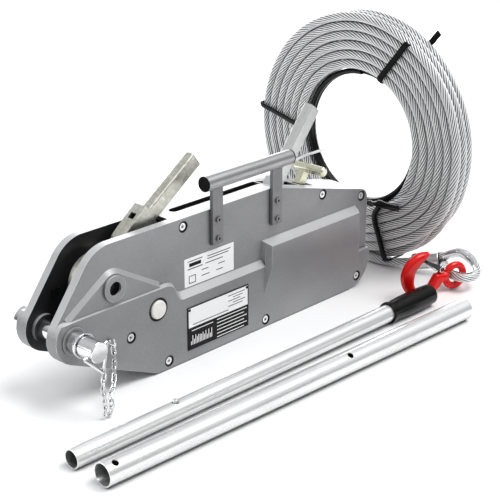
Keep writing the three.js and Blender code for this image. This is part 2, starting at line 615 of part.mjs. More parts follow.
function ropeEnd() {
  const r = ROPE_D / 2;
  const a = new THREE.Vector3(...FERRULE.from);
  const b = new THREE.Vector3(...FERRULE.to);
  const along = b.clone().sub(a).normalize();
  const before = a.clone().addScaledVector(along, -GAP - 0.1);
  const behind = before.clone().addScaledVector(along, -14);
  piece('rope_tail', wire([[411, -40, 10.2], [413, -46, 11], behind.toArray(), before.toArray()], r, 6, 10),
    '#b8babc', 0.4, 0.8);
  piece('ferrule', rod(FERRULE.from, FERRULE.to, FERRULE.r, 20), '#c6c8c9', 0.35, 0.85);
  const up = new THREE.Vector3(0, 0, 1).addScaledVector(along, -along.z).normalize();
  const strand = (lift, ahead) => b.clone().addScaledVector(up, lift).addScaledVector(along, ahead).toArray();
  const loop = [strand(7.2, 0.5), strand(7.2, 10), [452, -140, 44], [454, -160, 39], [448, -177, 31],
    [434, -189, 26], [416, -193, 24.5], [401.5, -184, 24.5], [400.5, -164, 24.5], [408, -146, 24],
    [424, -128, 21], strand(-7.2, 8), strand(-7.2, 0.5)];
  piece('rope_eye', wire(loop, 7, 44, 10), '#b8babc', 0.4, 0.8);
  const lining = [[445, -146, 39.7], [444.4, -160, 35.5], [440.4, -170.2, 30.6], [432, -178.5, 27.5],
    [419, -183.2, 26], [408, -176.5, 26], [410.4, -165.4, 26.4], [417, -151.7, 26.4]];
  piece('thimble', wire(lining, 1.6, 20, 6), '#d8d9da', 0.25, 0.9);
}

// ---------------------------------------------------------------- hook, drawn in its own plane
const HOOK = { x: 400, y: -165, yaw: -15, half: 8, eye: [3, 24.5] };

function inHookPlane(body) {
  return body.rotate([0, 0, HOOK.yaw]).translate([HOOK.x, HOOK.y, 0.4]);
}

function hookShape() {
  const shape = new THREE.Shape();
  const to = (points) => points.map(([x, z]) => new THREE.Vector2(x, z));
  shape.moveTo(-53, 77);
  shape.splineThru(to([[-68, 78.5], [-80, 76], [-95, 67], [-105, 52], [-106, 34], [-97, 15], [-79, 3],
    [-56, 0.4]]));
  shape.splineThru(to([[-40, 4], [-30, 11], [-24, 18]]));
  shape.lineTo(-10, 16);
  shape.lineTo(-10, 34);
  shape.lineTo(-21, 34.5);
  shape.lineTo(-38, 36);
  shape.lineTo(-53, 15);
  shape.splineThru(to([[-62, 11], [-73, 13.5], [-81.5, 25], [-82.5, 38], [-78, 51], [-62, 64]]));
  shape.lineTo(-55, 70);
  return shape;
}

function hook() {
  const pivot = [-27, 42];
  let body = plate(hookShape(), -HOOK.half, HOOK.half, 3);
  body = body.add(rodY(HOOK.eye[0], HOOK.eye[1], 24, -HOOK.half + 1, HOOK.half - 1, 32));
  body = body.subtract(rodY(HOOK.eye[0], HOOK.eye[1], 12, -20, 20, 24));
  body = body.add(plate(polygon([[-33, 34], [-20, 33], [-22, 46], [-31, 46]]), -2.5, 2.5));
  body = body.add(rodY(pivot[0], pivot[1], 2.2, -6, 6, 12));
  piece('hook', inHookPlane(body), '#c3161c', 0.35);
  const bar = polygon([[-22, 39], [-25, 46.5], [-30, 48.5], [-57, 63], [-60, 59], [-34, 41], [-29, 37.5]]);
  let latch = plate(bar, -4.8, 4.8);
  latch = latch.subtract(box(-38, -10, -2.8, 2.8, 30, 60));
  latch = latch.subtract(rodY(pivot[0], pivot[1], 2.5, -10, 10, 12));
  piece('hook_latch', inHookPlane(latch), '#2b2c2d', 0.4, 0.8);
}

covers();
bolts();
closingPlug();
labels();
carryHandle();
anchorPin();
springClip();
pinChain();
forwardLever();
reverseLever();
releaseHandle();
mechanism();
leverTubes();
ropeCoil();
ropeEnd();
hook();

export default group;
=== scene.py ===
import json
import math

import bmesh
import bpy
import numpy as np
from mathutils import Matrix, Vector, kdtree


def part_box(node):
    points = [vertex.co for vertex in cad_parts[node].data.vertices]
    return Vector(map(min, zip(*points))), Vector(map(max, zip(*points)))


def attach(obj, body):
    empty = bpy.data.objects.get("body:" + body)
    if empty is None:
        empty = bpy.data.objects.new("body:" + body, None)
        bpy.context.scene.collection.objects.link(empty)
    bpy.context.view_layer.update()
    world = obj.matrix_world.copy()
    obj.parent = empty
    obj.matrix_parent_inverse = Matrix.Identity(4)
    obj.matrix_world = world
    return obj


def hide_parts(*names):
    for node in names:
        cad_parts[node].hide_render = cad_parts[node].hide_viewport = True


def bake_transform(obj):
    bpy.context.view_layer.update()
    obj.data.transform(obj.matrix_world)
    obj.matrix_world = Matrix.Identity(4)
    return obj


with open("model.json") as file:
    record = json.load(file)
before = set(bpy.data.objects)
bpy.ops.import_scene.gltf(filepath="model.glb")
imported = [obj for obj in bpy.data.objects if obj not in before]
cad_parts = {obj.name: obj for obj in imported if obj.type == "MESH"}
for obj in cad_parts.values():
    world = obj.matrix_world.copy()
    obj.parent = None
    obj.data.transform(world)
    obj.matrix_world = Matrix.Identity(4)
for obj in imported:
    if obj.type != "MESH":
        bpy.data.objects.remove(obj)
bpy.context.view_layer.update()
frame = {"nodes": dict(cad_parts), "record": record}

# Everything is in metres, in the frame of the CAD model: X runs from the anchor pin to the rope
# entry, -Y is the labelled face, Z is up and the floor is z = 0.
NODES = frame["nodes"]
SLOT_OF = {part["node"]: part["material_slot"] for part in frame["record"]["subparts"]}
MM = 0.001

# Light: the sky's strength at the horizon, high up and as the camera sees it, and the sun's. Then
# half the width of the floor.
WORLD_LOW = 0.13
WORLD_HIGH = 0.62
WORLD_SEEN = 0.97
SUN = 2.3
FLOOR_HALF = 60

# The casing: half the gap between its walls, where its screws come clear of them, both in metres,
# and the faces that carry the two labels, as Y in millimetres.
WALL_INSIDE = 0.0245
SHANK_END = 0.028
LABEL_FACE = -35.38
PLATE_FACE = -43.98
BOLTS = 7


# ---------------------------------------------------------------- camera, floor and light
def camera():
    """Looks down from the front left, from far enough to take in the whole layout."""
    eye = Vector((-1.3239, -1.3442, 0.8777))
    ahead = Vector((0.6742, 0.6421, -0.3649))
    data = bpy.data.cameras.new("camera")
    data.sensor_width = 36
    data.lens = 97.2
    data.clip_end = 50
    obj = bpy.data.objects.new("camera", data)
    bpy.context.collection.objects.link(obj)
    obj.location = eye
    obj.rotation_mode = "QUATERNION"
    obj.rotation_quaternion = ahead.to_track_quat("-Z", "Y")
    bpy.context.scene.camera = obj


def area_light(name, place, target, size, watts):
    """A lit rectangle that faces the target and isn't seen itself."""
    data = bpy.data.lights.new(name, "AREA")
    data.shape = "RECTANGLE"
    data.size, data.size_y = size
    data.energy = watts
    obj = bpy.data.objects.new(name, data)
    bpy.context.collection.objects.link(obj)
    obj.location = place
    obj.rotation_mode = "QUATERNION"
    obj.rotation_quaternion = (Vector(target) - Vector(place)).to_track_quat("-Z", "Y")
    obj.visible_camera = False


def sky():
    """A soft sky that brightens with height, and that the camera sees as plain white."""
    world = bpy.data.worlds.new("studio")
    world.use_nodes = True
    tree = world.node_tree
    background = tree.nodes["Background"]
    background.inputs["Color"].default_value = (0.97, 0.98, 1, 1)
    direction = tree.nodes.new("ShaderNodeTexCoord")
    height = tree.nodes.new("ShaderNodeSeparateXYZ")
    tree.links.new(direction.outputs["Generated"], height.inputs["Vector"])
    rise = tree.nodes.new("ShaderNodeMapRange")
    rise.interpolation_type = "SMOOTHSTEP"
    rise.inputs["From Min"].default_value = 0.05
    rise.inputs["From Max"].default_value = 0.7
    rise.inputs["To Min"].default_value = WORLD_LOW
    rise.inputs["To Max"].default_value = WORLD_HIGH
    tree.links.new(height.outputs["Z"], rise.inputs["Value"])
    seen = tree.nodes.new("ShaderNodeLightPath")
    strength = tree.nodes.new("ShaderNodeMix")
    tree.links.new(seen.outputs["Is Camera Ray"], strength.inputs["Factor"])
    tree.links.new(rise.outputs["Result"], strength.inputs["A"])
    strength.inputs["B"].default_value = WORLD_SEEN
    tree.links.new(strength.outputs["Result"], background.inputs["Strength"])
    return world


def overhead_sun():
    """A wide, soft sun from above and in front."""
    sun = bpy.data.lights.new("overhead", "SUN")
    sun.energy = SUN
    sun.angle = math.radians(38)
    lamp = bpy.data.objects.new("overhead", sun)
    bpy.context.collection.objects.link(lamp)
    lamp.rotation_mode = "QUATERNION"
    lamp.rotation_quaternion = Vector((-0.30, 0.42, -1)).to_track_quat("-Z", "Y")


def pale_floor():
    """A floor that runs out of sight."""
    size = FLOOR_HALF
    mesh = bpy.data.meshes.new("floor")
    corners = [(-size, -size, 0), (size, -size, 0), (size, size, 0), (-size, size, 0)]
    mesh.from_pydata(corners, [], [(0, 1, 2, 3)])
    floor = bpy.data.objects.new("floor", mesh)
    bpy.context.collection.objects.link(floor)
    mesh.materials.append(surface("floor", (0.93, 0.93, 0.93), 0, 0.6, mottle=0, grain=0))


def studio():
    """The light and the floor round the part."""
    scene = bpy.context.scene
    scene.view_settings.view_transform = "Standard"
    scene.world = sky()
    overhead_sun()
    middle = (0.05, -0.05, 0.15)
    area_light("back_panel", (1.5, 1.7, 0.75), middle, (2.6, 1.1), 34)
    area_light("left_strip", (-1.6, 0.9, 0.8), middle, (0.5, 1.2), 7)
    pale_floor()


# ---------------------------------------------------------------- materials
class Nodes:
    """A material's node tree, with short calls to add and link nodes."""

    def __init__(self, name):
        self.material = bpy.data.materials.new(name)
        self.material.use_nodes = True
        self.tree = self.material.node_tree
        self.shader = self.tree.nodes["Principled BSDF"]
        self.place = self.tree.nodes.new("ShaderNodeTexCoord").outputs["Object"]

    def add(self, kind, **values):
        node = self.tree.nodes.new("ShaderNode" + kind)
        for key, value in values.items():
            if key in node.inputs:
                node.inputs[key].default_value = value
            else:
                setattr(node, key, value)
        return node

    def link(self, out, into):
        self.tree.links.new(out, into)

    def noise(self, scale, stretch=(1, 1, 1), detail=4):
        mapping = self.add("Mapping")
        mapping.inputs["Scale"].default_value = stretch
        self.link(self.place, mapping.inputs["Vector"])
        noise = self.add("TexNoise", Scale=scale, Detail=detail)
        self.link(mapping.outputs["Vector"], noise.inputs["Vector"])
        return noise.outputs["Fac"]

    def spread(self, value, low, high, start=0.3, end=0.7):
        """Maps a 0..1 value onto low..high."""
        node = self.add("MapRange")
        node.inputs["From Min"].default_value = start
        node.inputs["From Max"].default_value = end
        node.inputs["To Min"].default_value = low
        node.inputs["To Max"].default_value = high
        self.link(value, node.inputs["Value"])
        return node.outputs["Result"]

    def blend(self, factor, first, second):
        """Mixes two colours, each a tuple or an output."""
        node = self.add("Mix", data_type="RGBA")
        self.link(factor, node.inputs["Factor"])
        colours = [s for s in node.inputs if s.type == "RGBA"]
        for socket, value in zip(colours, (first, second)):
            if isinstance(value, tuple):
                socket.default_value = (*value, 1)
            else:
                self.link(value, socket)
        return [s for s in node.outputs if s.type == "RGBA"][0]

    def bump(self, height, strength, distance, below=None):
        node = self.add("Bump", Strength=strength, Distance=distance)
        self.link(height, node.inputs["Height"])
        if below is not None:
            self.link(below, node.inputs["Normal"])
        self.link(node.outputs["Normal"], self.shader.inputs["Normal"])
        return node.outputs["Normal"]

    def cavity(self, reach):
        """0 in tight corners, 1 in the open."""
        node = self.add("AmbientOcclusion", Distance=reach)
        node.samples = 6
        return node.outputs["AO"]

    def math(self, operation, *values):
        """One step of arithmetic; each value is a number or an output."""
        node = self.add("Math", operation=operation)
        for socket, value in zip(node.inputs, values):
            if isinstance(value, (int, float)):
                socket.default_value = value
            else:
                self.link(value, socket)
        return node.outputs[0]

    def split(self, vector):
        """The X, Y and Z of a vector, as three outputs."""
        node = self.add("SeparateXYZ")
        self.link(vector, node.inputs["Vector"])
        return node.outputs

    def between_walls(self, end):
        """1 where a point lies between the two walls of the casing, 0 outside them."""
        depth = self.math("ABSOLUTE", self.split(self.place)["Y"])
        return self.spread(depth, 1, 0, end - 0.0023, end)

    def round_hole(self, node, radius):
        """1 within the radius of the node's axis along Y, and near the node itself."""
        low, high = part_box(node)
        middle = [(a + b) / 2 for a, b in zip(low, high)]
        offset = self.add("VectorMath", operation="SUBTRACT")
        self.link(self.place, offset.inputs[0])
        offset.inputs[1].default_value = middle
        x, y, z = (self.math("ABSOLUTE", out) for out in self.split(offset.outputs["Vector"]))
        square = self.math("ADD", self.math("POWER", x, 2), self.math("POWER", z, 2))
        near = self.math("LESS_THAN", y, (high[1] - low[1]) / 2 + 0.006)
        return self.math("MULTIPLY", self.math("LESS_THAN", square, radius ** 2), near)

    def corner(self, radius):
        """0 on flat faces, rising towards 1 at an edge."""
        node = self.add("Bevel", Radius=radius)
        node.samples = 4
        normal = self.add("NewGeometry")
        dot = self.add("VectorMath", operation="DOT_PRODUCT")
        self.link(node.outputs["Normal"], dot.inputs[0])
        self.link(normal.outputs["Normal"], dot.inputs[1])
        return self.spread(dot.outputs["Value"], 1, 0, 0.8, 0.985)


def shade(colour, by):
    return tuple(min(1, c * by) for c in colour)


def surface(name, colour, metallic, roughness, mottle=0.12, grain=0.15, scale=22, fine=900,
            stretch=(1, 1, 1), coat=0.0, deep=0.0002, corners=0.0, gloss=0.5, shade_opening=(0.2, 0.8)):
    """The usual finish: mottled colour, uneven gloss, a fine grain in relief and painted shade in the
    corners.

    Corners is the reach of the painted shade, and the pair after gloss is how open a place is where
    the shade starts and ends."""
    n = Nodes(name)
    n.shader.inputs["Metallic"].default_value = metallic
    n.shader.inputs["Specular IOR Level"].default_value = gloss
    n.shader.inputs["Coat Weight"].default_value = coat
    n.shader.inputs["Coat Roughness"].default_value = 0.08
    patches = n.noise(scale, stretch)
    if mottle:
        tint = n.blend(n.spread(patches, 0, 1), shade(colour, 1 - mottle), shade(colour, 1 + mottle / 2))
        # Painted shade: the colour darkens to near black in corners, within the reach given by corners.
        if corners:
            tint = n.blend(n.spread(n.cavity(corners), 0, 1, *shade_opening), shade(colour, 0.06), tint)
        n.link(tint, n.shader.inputs["Base Color"])
        n.link(n.spread(patches, min(1, roughness * 1.18), roughness * 0.85), n.shader.inputs["Roughness"])
    else:
        n.shader.inputs["Base Color"].default_value = (*colour, 1)
        n.shader.inputs["Roughness"].default_value = roughness
    if grain:
        n.bump(n.noise(fine, stretch, 3), grain, deep)
    return n.material


def casting_paint():
    """Silver paint on sand-cast aluminium, with painted light: edges painted lighter as a highlight with
    some wear, up-facing faces painted lighter, painted shade in the corners and in rings round the screw
    heads, the plug and the shaft hole, and painted shade with grease on the inner faces of the two walls."""
    n = Nodes("cover_casting")
    n.shader.inputs["Metallic"].default_value = 0.4
    facing = n.split(n.add("NewGeometry").outputs["Normal"])
    broad = n.noise(9, (1, 1, 1.6))
    paint = n.blend(n.spread(broad, 0, 1), (0.225, 0.226, 0.235), (0.285, 0.286, 0.295))
    flakes = n.noise(1500, detail=1)
    paint = n.blend(n.spread(flakes, 0, 0.25, 0.45, 0.75), paint, (0.55, 0.55, 0.56))
    # Painted light: faces that look up are painted lighter.
    paint = n.blend(n.spread(facing["Z"], 0, 0.6, 0.3, 0.75), paint, (0.80, 0.80, 0.81))
    # Painted highlight, with some wear: edges are painted lighter.
    paint = n.blend(n.spread(n.corner(0.0016), 0, 0.65, 0.1, 0.9), paint, (0.82, 0.82, 0.83))
    # Painted shade: corners darken to near black.
    paint = n.blend(n.spread(n.cavity(0.006), 0, 1, 0.35, 0.8), (0.025, 0.025, 0.027), paint)
    # Painted shade, with grease: the faces inside the walls are painted dark.
    across = n.math("ABSOLUTE", facing["Y"])
    dark = n.math("MULTIPLY", n.between_walls(WALL_INSIDE), n.spread(across, 0, 1, 0.6, 0.8))
    # Painted shade: dark rings round the screw heads, the plug and the shaft, in the gaps of their holes.
    for i in range(1, BOLTS + 1):
        dark = n.math("MAXIMUM", dark, n.round_hole(f"cover_bolt_{i}", 0.0088))
    dark = n.math("MAXIMUM", dark, n.round_hole("closing_plug", 0.0178))
    dark = n.math("MAXIMUM", dark, n.round_hole("main_shaft", 0.0108))
    n.link(n.blend(dark, paint, (0.02, 0.02, 0.022)), n.shader.inputs["Base Color"])
    n.link(n.spread(n.noise(30), 0.44, 0.34), n.shader.inputs["Roughness"])
    coarse = n.bump(n.noise(160, detail=2), 0.12, 0.0004)
    n.bump(n.noise(1100, detail=2), 0.18, 0.00012, coarse)
    return n.material


def bolt_steel():
    """Bright screws with painted shade in their corners; between the walls their shanks are painted
    dark, as shade with grease.
    """
    n = Nodes("bolt_steel")
    n.shader.inputs["Metallic"].default_value = 0.8
    steel = n.blend(n.spread(n.noise(120), 0, 1), (0.84, 0.84, 0.85), (0.97, 0.97, 0.97))
    # Painted shade: corners darken to near black.
    steel = n.blend(n.spread(n.cavity(0.003), 0, 1, 0.2, 0.8), (0.03, 0.03, 0.03), steel)
    # Painted shade, with grease: the shanks are dark between the walls.
    n.link(n.blend(n.between_walls(SHANK_END), steel, (0.02, 0.02, 0.02)), n.shader.inputs["Base Color"])
    n.link(n.spread(n.noise(300), 0.36, 0.26), n.shader.inputs["Roughness"])
    n.bump(n.noise(900, detail=3), 0.15, 0.0002)
    return n.material


def rope_wire():
    """Bright drawn wire: fine wires run along the rope, painted shade with grease darkens the valleys,
    and painted shade darkens the tight places between turns.

    The mesh carries "lay": the place round the section from 0 to 1, the distance along the rope,
    and the height above the valleys from 0 to 1."""
    n = Nodes("wire_rope")
    n.shader.inputs["Metallic"].default_value = 0.3
    lay = n.split(n.add("Attribute", attribute_name="lay").outputs["Vector"])
    turned = n.math("MULTIPLY", lay["Y"], 2 * math.pi * ROPE_WIRES / ROPE_LAY)
    wave = n.math("SINE", n.math("MULTIPLY_ADD", lay["X"], 2 * math.pi * ROPE_WIRES, turned))
    wire = n.blend(n.spread(n.noise(25), 0, 1), (0.90, 0.90, 0.91), (1.0, 1.0, 1.0))
    # Painted shade, with grease: the valleys between strands are painted near black.
    colour = n.blend(n.spread(lay["Z"], 0, 1, 0.3, 0.75), (0.006, 0.006, 0.006), wire)
    # Painted shade: tight places between the turns darken to near black.
    colour = n.blend(n.spread(n.cavity(0.008), 0, 1, 0.2, 0.45), (0.006, 0.006, 0.006), colour)
    n.link(colour, n.shader.inputs["Base Color"])
    n.link(n.spread(n.noise(60), 0.42, 0.28), n.shader.inputs["Roughness"])
    n.bump(wave, 0.5, 0.00015)
    return n.material


def make_materials():
    """A material for each slot of the record."""
    # Every corners= below paints shade into that finish's corners.
    return {
        "cover_casting": casting_paint(),
        "bolt_steel": bolt_steel(),
        "stub_steel": galvanised(),
        "wire_rope": rope_wire(),
        "plug_plastic": surface("plug_plastic", (0.86, 0.85, 0.80), 0, 0.45, mottle=0.08, grain=0.2,
                                scale=90, fine=500, corners=0.004),
        "data_plate": surface("data_plate", (0.006, 0.005, 0.006), 0, 0.4, mottle=0.1, grain=0.05,
                              gloss=0.15),
        "label_paper": surface("label_paper", (0.95, 0.95, 0.95), 0, 0.5, mottle=0.02, grain=0.05),
        "handle_tube": surface("handle_tube", (0.42, 0.42, 0.43), 0.75, 0.33, mottle=0.1, grain=0.12,
                               scale=30, fine=700),
        "handle_strap": surface("handle_strap", (0.23, 0.23, 0.235), 0.6, 0.4, mottle=0.1, scale=40,
                                fine=700, corners=0.004),
        "black_plastic": surface("black_plastic", (0.003, 0.003, 0.0035), 0, 0.4, mottle=0.2, scale=60,
                                 gloss=0.1),
        "black_rubber": surface("black_rubber", (0.003, 0.003, 0.0035), 0, 0.22, mottle=0.2, grain=0.25,
                                scale=70, fine=1200, gloss=0.25),
        "zinc_steel": surface("zinc_steel", (0.86, 0.87, 0.88), 1, 0.12, mottle=0.04, grain=0, scale=40,
                              corners=0.004),
        "zinc_tube": surface("zinc_tube", (0.96, 0.97, 0.965), 0.65, 0.25, mottle=0.16, grain=0.12,
                             scale=90, fine=700, stretch=(0.05, 1, 1), corners=0.04, shade_opening=(0.12, 0.5)),
        # Near black and only half metallic, so that the main shaft reads as the shade of its deep hole:
        # painted shade.
        "dark_iron": surface("dark_iron", (0.03, 0.03, 0.028), 0.5, 0.5, mottle=0.4, grain=0.3, scale=70,
                             fine=600, corners=0.012, gloss=0.3),
        "yellow_zinc": surface("yellow_zinc", (0.80, 0.79, 0.62), 1, 0.24, grain=0.1, scale=60),
        "lever_steel": surface("lever_steel", (0.70, 0.71, 0.70), 0.8, 0.36, mottle=0.08, grain=0.2,
                               scale=140, fine=500),
        "jaw_steel": surface("jaw_steel", (0.3, 0.3, 0.31), 1, 0.4, mottle=0.2, corners=0.03),
        "spring_steel": surface("spring_steel", (0.5, 0.5, 0.51), 1, 0.3, mottle=0.1, grain=0.1),
        "latch_steel": surface("latch_steel", (0.055, 0.055, 0.06), 0.9, 0.3, mottle=0.3, grain=0.2,
                               scale=80),
        "ferrule": surface("ferrule", (0.68, 0.69, 0.7), 1, 0.32, mottle=0.15, scale=80, fine=600),
        "brass": surface("brass", (0.5, 0.41, 0.2), 1, 0.35, mottle=0.2, grain=0.1),
        "red_paint": surface("red_paint", (0.74, 0.005, 0.004), 0, 0.22, grain=0.1, scale=60, fine=260,
                             coat=0.2, deep=0.0003, corners=0.004, gloss=0.3),
    }


def galvanised():
    """Hot-dipped zinc with a coarse, olive-tinted spangle, painted highlights on its edges and painted
    shade in its corners.
    """
    n = Nodes("stub_steel")
    n.shader.inputs["Metallic"].default_value = 0.85
    cells = n.add("TexVoronoi", Scale=170)
    n.link(n.place, cells.inputs["Vector"])
    base = n.blend(n.spread(cells.outputs["Distance"], 0, 1, 0.0, 0.7),
                   (0.86, 0.86, 0.82), (0.62, 0.62, 0.55))
    base = n.blend(n.spread(n.noise(55), 0, 0.6), base, (0.45, 0.45, 0.36))
    # Painted highlight: edges are painted lighter.
    base = n.blend(n.spread(n.corner(0.0012), 0, 0.9, 0.1, 0.9), base, (0.95, 0.95, 0.93))
    # Painted shade: corners darken to near black.
    n.link(n.blend(n.spread(n.cavity(0.012), 0, 1, 0.2, 0.8), (0.05, 0.05, 0.04), base),
           n.shader.inputs["Base Color"])
    n.link(n.spread(n.noise(140), 0.45, 0.25), n.shader.inputs["Roughness"])
    n.bump(n.noise(420, detail=3), 0.3, 0.0002)
    return n.material


# ---------------------------------------------------------------- mesh kit
def finished(obj, angle):
    """Smooth shading with hard lines kept where faces meet at more than the angle."""
    for polygon in obj.data.polygons:
        polygon.use_smooth = True
    obj.data.set_sharp_from_angle(angle=math.radians(angle))
    return obj


def mesh_object(name, points, faces, slot, angle):
    """A new mesh with the slot's material, smooth except where faces meet at more than the angle."""
    mesh = bpy.data.meshes.new(name)
    mesh.from_pydata([tuple(p) for p in points], [], [tuple(f) for f in faces])
    mesh.update()
    obj = bpy.data.objects.new(name, mesh)
    bpy.context.collection.objects.link(obj)
    mesh.materials.append(MATERIALS[slot])
    return finished(obj, angle)


def baked(obj, modifiers):
    """Adds modifiers, then keeps only their result."""
    for kind, values in modifiers:
        modifier = obj.modifiers.new(kind.lower(), kind)
        for key, value in values.items():
            setattr(modifier, key, value)
    ready = obj.evaluated_get(bpy.context.evaluated_depsgraph_get())
    mesh = bpy.data.meshes.new_from_object(ready)
    obj.modifiers.clear()
    obj.data = mesh
    return obj


def cad_copy(node, name):
    """A new object with the node's mesh, its triangles joined back into flat faces."""
    mesh = NODES[node].data.copy()
    work = bmesh.new()
    work.from_mesh(mesh)
    bmesh.ops.remove_doubles(work, verts=work.verts, dist=2e-6)
    bmesh.ops.dissolve_limit(work, angle_limit=math.radians(0.6), verts=work.verts, edges=work.edges)
    work.to_mesh(mesh)
    work.free()
    mesh.name = name
    obj = bpy.data.objects.new(name, mesh)
    bpy.context.collection.objects.link(obj)
    return obj


def refined(node, body, width, segments=3):
    """Stands for a CAD node, with its edges rounded to the width in millimetres."""
    obj = cad_copy(node, node + "_look")
    baked(obj, [("BEVEL", {
        "width": width * MM, "segments": segments, "limit_method": "ANGLE",
        "angle_limit": math.radians(28), "use_clamp_overlap": True, "miter_outer": "MITER_ARC"})])
    slot = SLOT_OF[node]
    obj.data.materials.clear()
    obj.data.materials.append(MATERIALS[slot])
    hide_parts(node)
    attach(obj, body)
    finished(obj, 38)
    return baked(obj, [("WEIGHTED_NORMAL", {"keep_sharp": True, "weight": 100})])


def through(points, count):
    """Evenly spaced places on a smooth (Catmull-Rom) curve through the points."""
    p = np.array(points, float)
    ends = np.vstack([2 * p[0] - p[1], p, 2 * p[-1] - p[-2]])
    fine = []
    for i in range(1, len(ends) - 2):
        a, b, c, d = ends[i - 1:i + 3]
        for t in np.linspace(0, 1, 24, endpoint=False):
            fine.append(0.5 * (2 * b + (c - a) * t + (2 * a - 5 * b + 4 * c - d) * t * t
                               + (3 * b - a - 3 * c + d) * t ** 3))
    fine.append(p[-1])
    return resampled(np.array(fine), count)


def resampled(line, count):
    """The same line, as evenly spaced places."""
    steps = np.linalg.norm(np.diff(line, axis=0), axis=1)
    along = np.concatenate([[0], np.cumsum(steps)])
    wanted = np.linspace(0, along[-1], count)
    return np.column_stack([np.interp(wanted, along, line[:, k]) for k in range(3)])


def line_length(line):
    return float(np.linalg.norm(np.diff(line, axis=0), axis=1).sum())


def frames(line, first=(1, 0, 0)):
    """Two unit directions square to the line at each place, carried along without twist."""
    tangent = np.gradient(line, axis=0)
    tangent /= np.linalg.norm(tangent, axis=1)[:, None]
    side = np.empty_like(line)
    current = np.array(first, float)
    for i, t in enumerate(tangent):
        current = current - t * np.dot(current, t)
        current /= np.linalg.norm(current)
        side[i] = current
    return side, np.cross(tangent, side)


def tube_faces(rings, sides):
    """Faces that join rings of corners into a tube with closed ends."""
    faces = []
    for i in range(rings - 1):
        for j in range(sides):
            k = (j + 1) % sides
            faces.append((i * sides + j, i * sides + k, (i + 1) * sides + k, (i + 1) * sides + j))
    faces.append(tuple(range(sides))[::-1])
    faces.append(tuple((rings - 1) * sides + j for j in range(sides)))
    return faces


def tube(name, points, radius, slot, steps, sides):
    """A round wire or hose through the points, in metres."""
    line = through(points, steps)
    side, up = frames(line)
    turn = np.linspace(0, 2 * math.pi, sides, endpoint=False)
    ring = np.cos(turn)[None, :, None] * side[:, None, :] + np.sin(turn)[None, :, None] * up[:, None, :]
    verts = (line[:, None, :] + radius * ring).reshape(-1, 3)
    return mesh_object(name, verts, tube_faces(steps, sides), slot, 50)


# ---------------------------------------------------------------- wire rope
# The rope's thickness, its radius over the strands' crowns in the coil and in the eye, the length
# of one turn of its lay, the wires and the strands that show round its section, and the radius of
# a strand at its four corners, as a share of its crown's.
ROPE = 0.016
ROPE_CROWN = 0.0077
EYE_CROWN = 0.0068
ROPE_LAY = 0.095
ROPE_WIRES = 60
STRANDS = 10
STRAND_PROFILE = (0.72, 0.95, 1.0, 0.95)


def rope_section(radius):
    """Angle, radius and height above the valley of each corner of the laid section."""
    sides = STRANDS * len(STRAND_PROFILE)
    turn = np.arange(sides) / sides * 2 * math.pi
    profile = np.tile(STRAND_PROFILE, STRANDS)
    valley = min(STRAND_PROFILE)
    return turn, radius * profile, (profile - valley) / (1 - valley)


def stranded(name, line, radius, first=(1, 0, 0)):
    """A laid wire rope along the line; the mesh follows the strands, and carries their lay."""
    side, up = frames(line, first)
    turn, reach, crown = rope_section(radius)
    along = np.concatenate([[0], np.cumsum(np.linalg.norm(np.diff(line, axis=0), axis=1))])
    angle = turn[None, :] + (along / ROPE_LAY * 2 * math.pi)[:, None]
    spoke = np.cos(angle)[..., None] * side[:, None, :] + np.sin(angle)[..., None] * up[:, None, :]
    verts = (line[:, None, :] + reach[None, :, None] * spoke).reshape(-1, 3)
    obj = mesh_object(name, verts, tube_faces(len(line), len(turn)), "wire_rope", 180)
    write_lay(obj.data, along, crown)
    return obj


def write_lay(mesh, along, crown):
    """Gives each face corner its place round the section, its distance along and its height.

    The last column of faces closes the section, so its corners at column 0 count as 1."""
    sides = len(crown)
    rings = len(along)
    corner = np.empty(len(mesh.loops), dtype=np.int32)
    mesh.loops.foreach_get("vertex_index", corner)
    column = corner % sides
    lay = np.zeros((len(corner), 3), dtype=np.float32)
    lay[:, 0] = column / sides
    body = (rings - 1) * sides * 4
    last = np.arange(body) // 4 % sides == sides - 1
    wrapped = np.zeros(len(corner), dtype=bool)
    wrapped[:body] = last & (column[:body] == 0)
    lay[wrapped, 0] = 1.0
    lay[:, 1] = along[corner // sides]
    lay[:, 2] = crown[column]
    mesh.attributes.new("lay", "FLOAT_VECTOR", "CORNER").data.foreach_set("vector", lay.ravel())


# The coil, with its angles in degrees. A ring begins a little before the bottom, and from STEP_FROM
# to STEP_TO past its beginning it steps to the next one, RING_STEP closer in or farther out. The
# last ring is cut short. The tail joins the coil a few places after the bottom.
COIL_TURNS = 6
COIL_LAYERS = 3
RING_BEGINS = -10
STEP_FROM = 300
STEP_TO = 345
RING_STEP = 0.01588
COIL_SHORT = 70
DEGREES_APART = 1.25
ROPE_SPACING = 0.0045
TAIL_JOINS = 14


def coil_centre():
    low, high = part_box("rope_coil")
    return (low[0] + high[0]) / 2, (low[1] + high[1]) / 2, (low[2] + high[2]) / 2


def ease(value, start, end):
    """0 up to the start, 1 from the end, and smooth between them."""
    t = min(1, max(0, (value - start) / (end - start)))
    return t * t * (3 - 2 * t)


